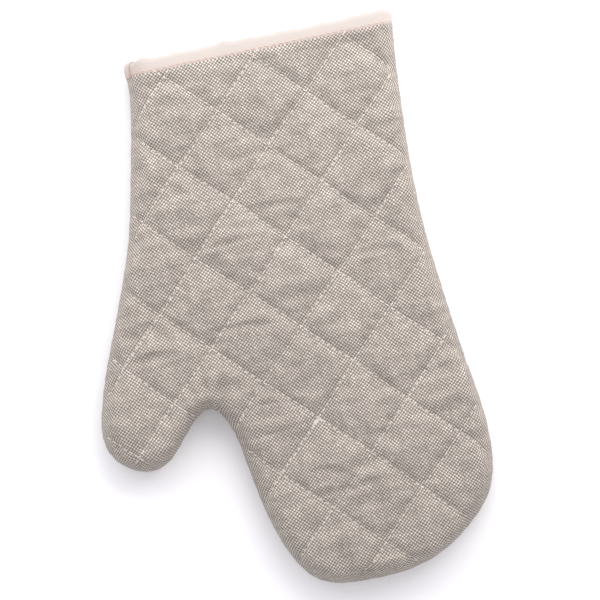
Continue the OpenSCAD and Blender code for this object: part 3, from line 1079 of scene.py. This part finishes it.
def stands_for(stem, part, folds):
    """The CAD nodes that a piece replaces; only the palm's layers have fold nodes."""
    if part == "fingers":
        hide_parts(f"{stem}_fingers", *([f"{stem}_knuckle_fold"] if folds else []))
    else:
        nodes = [f"{stem}_hand", f"{stem}_thumb"] + ([f"{stem}_thumb_fold"] if folds else [])
        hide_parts(*nodes)


def panel(side):
    """All the layers of one panel, each as a finger piece and a main piece for the rest."""
    looks = {
        "wadding": (plan(side, 3.2), WADDING, "wadding"),
        "cloth": (plan(side, 1.7 if side is PALM else 2.3), OUTER, "outer_cloth"),
        "lining": (plan(side, 3.0), LINING, "lining"),
    }
    wrinkles = settled(side, looks["cloth"][0])
    for part in ("main", "fingers"):
        for layer, (made, material, slot) in looks.items():
            name = f"{side.name}_{layer}_{part}_piece"
            move = wrinkles if layer == "cloth" else 0
            piece = shell(name, side, layer, made, part, material, move)
            bend(piece, part)
            stands_for(f"{side.name}_{layer}", part, side is PALM)
            if layer == "wadding":
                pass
            else:
                area, size = cloth_area(side, made, part)
        points, faces = quilting(side, part)
        piece = make_object(f"{side.name}_quilting_{part}_piece", points, faces, THREAD)
        bend(piece, part)
        stands_for(f"{side.name}_quilting", part, side is PALM)


def side_seams():
    """The stitches of the side seam, and the overlocked allowance inside."""
    for part in ("main", "fingers"):
        for stem, build, material in (
            ("side_seam", seam_thread, THREAD),
            ("seam_allowance", allowance, OVERLOCK),
        ):
            points, faces = build(part)
            piece = make_object(f"{stem}_{part}_piece", points, faces, material)
            bend(piece, part)
            stands_for(stem, part, False)


def cuff():
    """The binding tape round the cuff, and its two rows of stitches."""
    points, faces, uv = cuff_binding()
    tape = make_object("binding_tape_piece", points, faces, BINDING, uv)
    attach(tape, "hand")
    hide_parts("cuff_binding")
    run = cuff_path()[1]
    width = float(np.linalg.norm(np.diff(np.array(tape_profile()), axis=0), axis=1).sum()) * MM
    rows = edge_stitches(TAPE_LOW + 1.9, depth=0.1, way=1, seed=31)
    rows += edge_stitches(TAPE_LOW + 2.4, depth=5.5, way=-1, seed=32)
    points, faces = join(rows)
    points[:, 2] = np.maximum(points[:, 2], ABOVE_TABLE)
    thread = make_object("binding_stitch_piece", points, faces, BINDING_THREAD)
    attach(thread, "hand")
    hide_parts("binding_stitch")


# ---------------------------------------------------------------- floor, light and camera


def floor():
    g = Graph("floor_paint", 0.9, 0.0)
    place = g.node("ShaderNodeTexCoord").outputs["Object"]
    g.paint(g.mix(g.noise(place, 30, 2), srgb(251, 251, 252), srgb(253, 253, 254)))
    bpy.ops.mesh.primitive_plane_add(size=12)
    plane = bpy.context.object
    plane.name = "floor"
    plane.data.materials.append(g.material)
    return plane


def area_light(name, place, size, power, colour):
    light = bpy.data.lights.new(name, "AREA")
    light.size, light.energy, light.color = size, power, colour
    lamp = bpy.data.objects.new(name, light)
    bpy.context.scene.collection.objects.link(lamp)
    lamp.location = place
    lamp.rotation_euler = (-Vector(place)).to_track_quat("-Z", "Y").to_euler()
    return lamp


def sky(strength):
    world = bpy.data.worlds.new("sky")
    world.use_nodes = True
    background = world.node_tree.nodes["Background"]
    background.inputs["Color"].default_value = (0.97, 0.955, 1, 1)
    background.inputs["Strength"].default_value = strength
    bpy.context.scene.world = world


def camera():
    data = bpy.data.cameras.new("camera")
    data.sensor_width, data.lens = 36, 250.2
    made = bpy.data.objects.new("camera", data)
    bpy.context.scene.collection.objects.link(made)
    made.location = (0.0180, 0.0059, 2.41)
    made.rotation_euler = (0, 0, math.radians(-11.7))
    bpy.context.scene.camera = made


for build_side in (PALM, BACK):
    panel(build_side)
side_seams()
cuff()
key_light = area_light(
    "key_light", (0.42, 0.56, 0.46), size=0.9, power=7.4, colour=(1, 0.985, 0.965)
)
fill_light = area_light("fill_light", (-0.24, 0.52, 0.32), size=0.7, power=2.3, colour=(1, 1, 1))
floor()
sky(0.86)
camera()

# the default transform would turn the white floor grey
bpy.context.scene.view_settings.view_transform = "Standard"
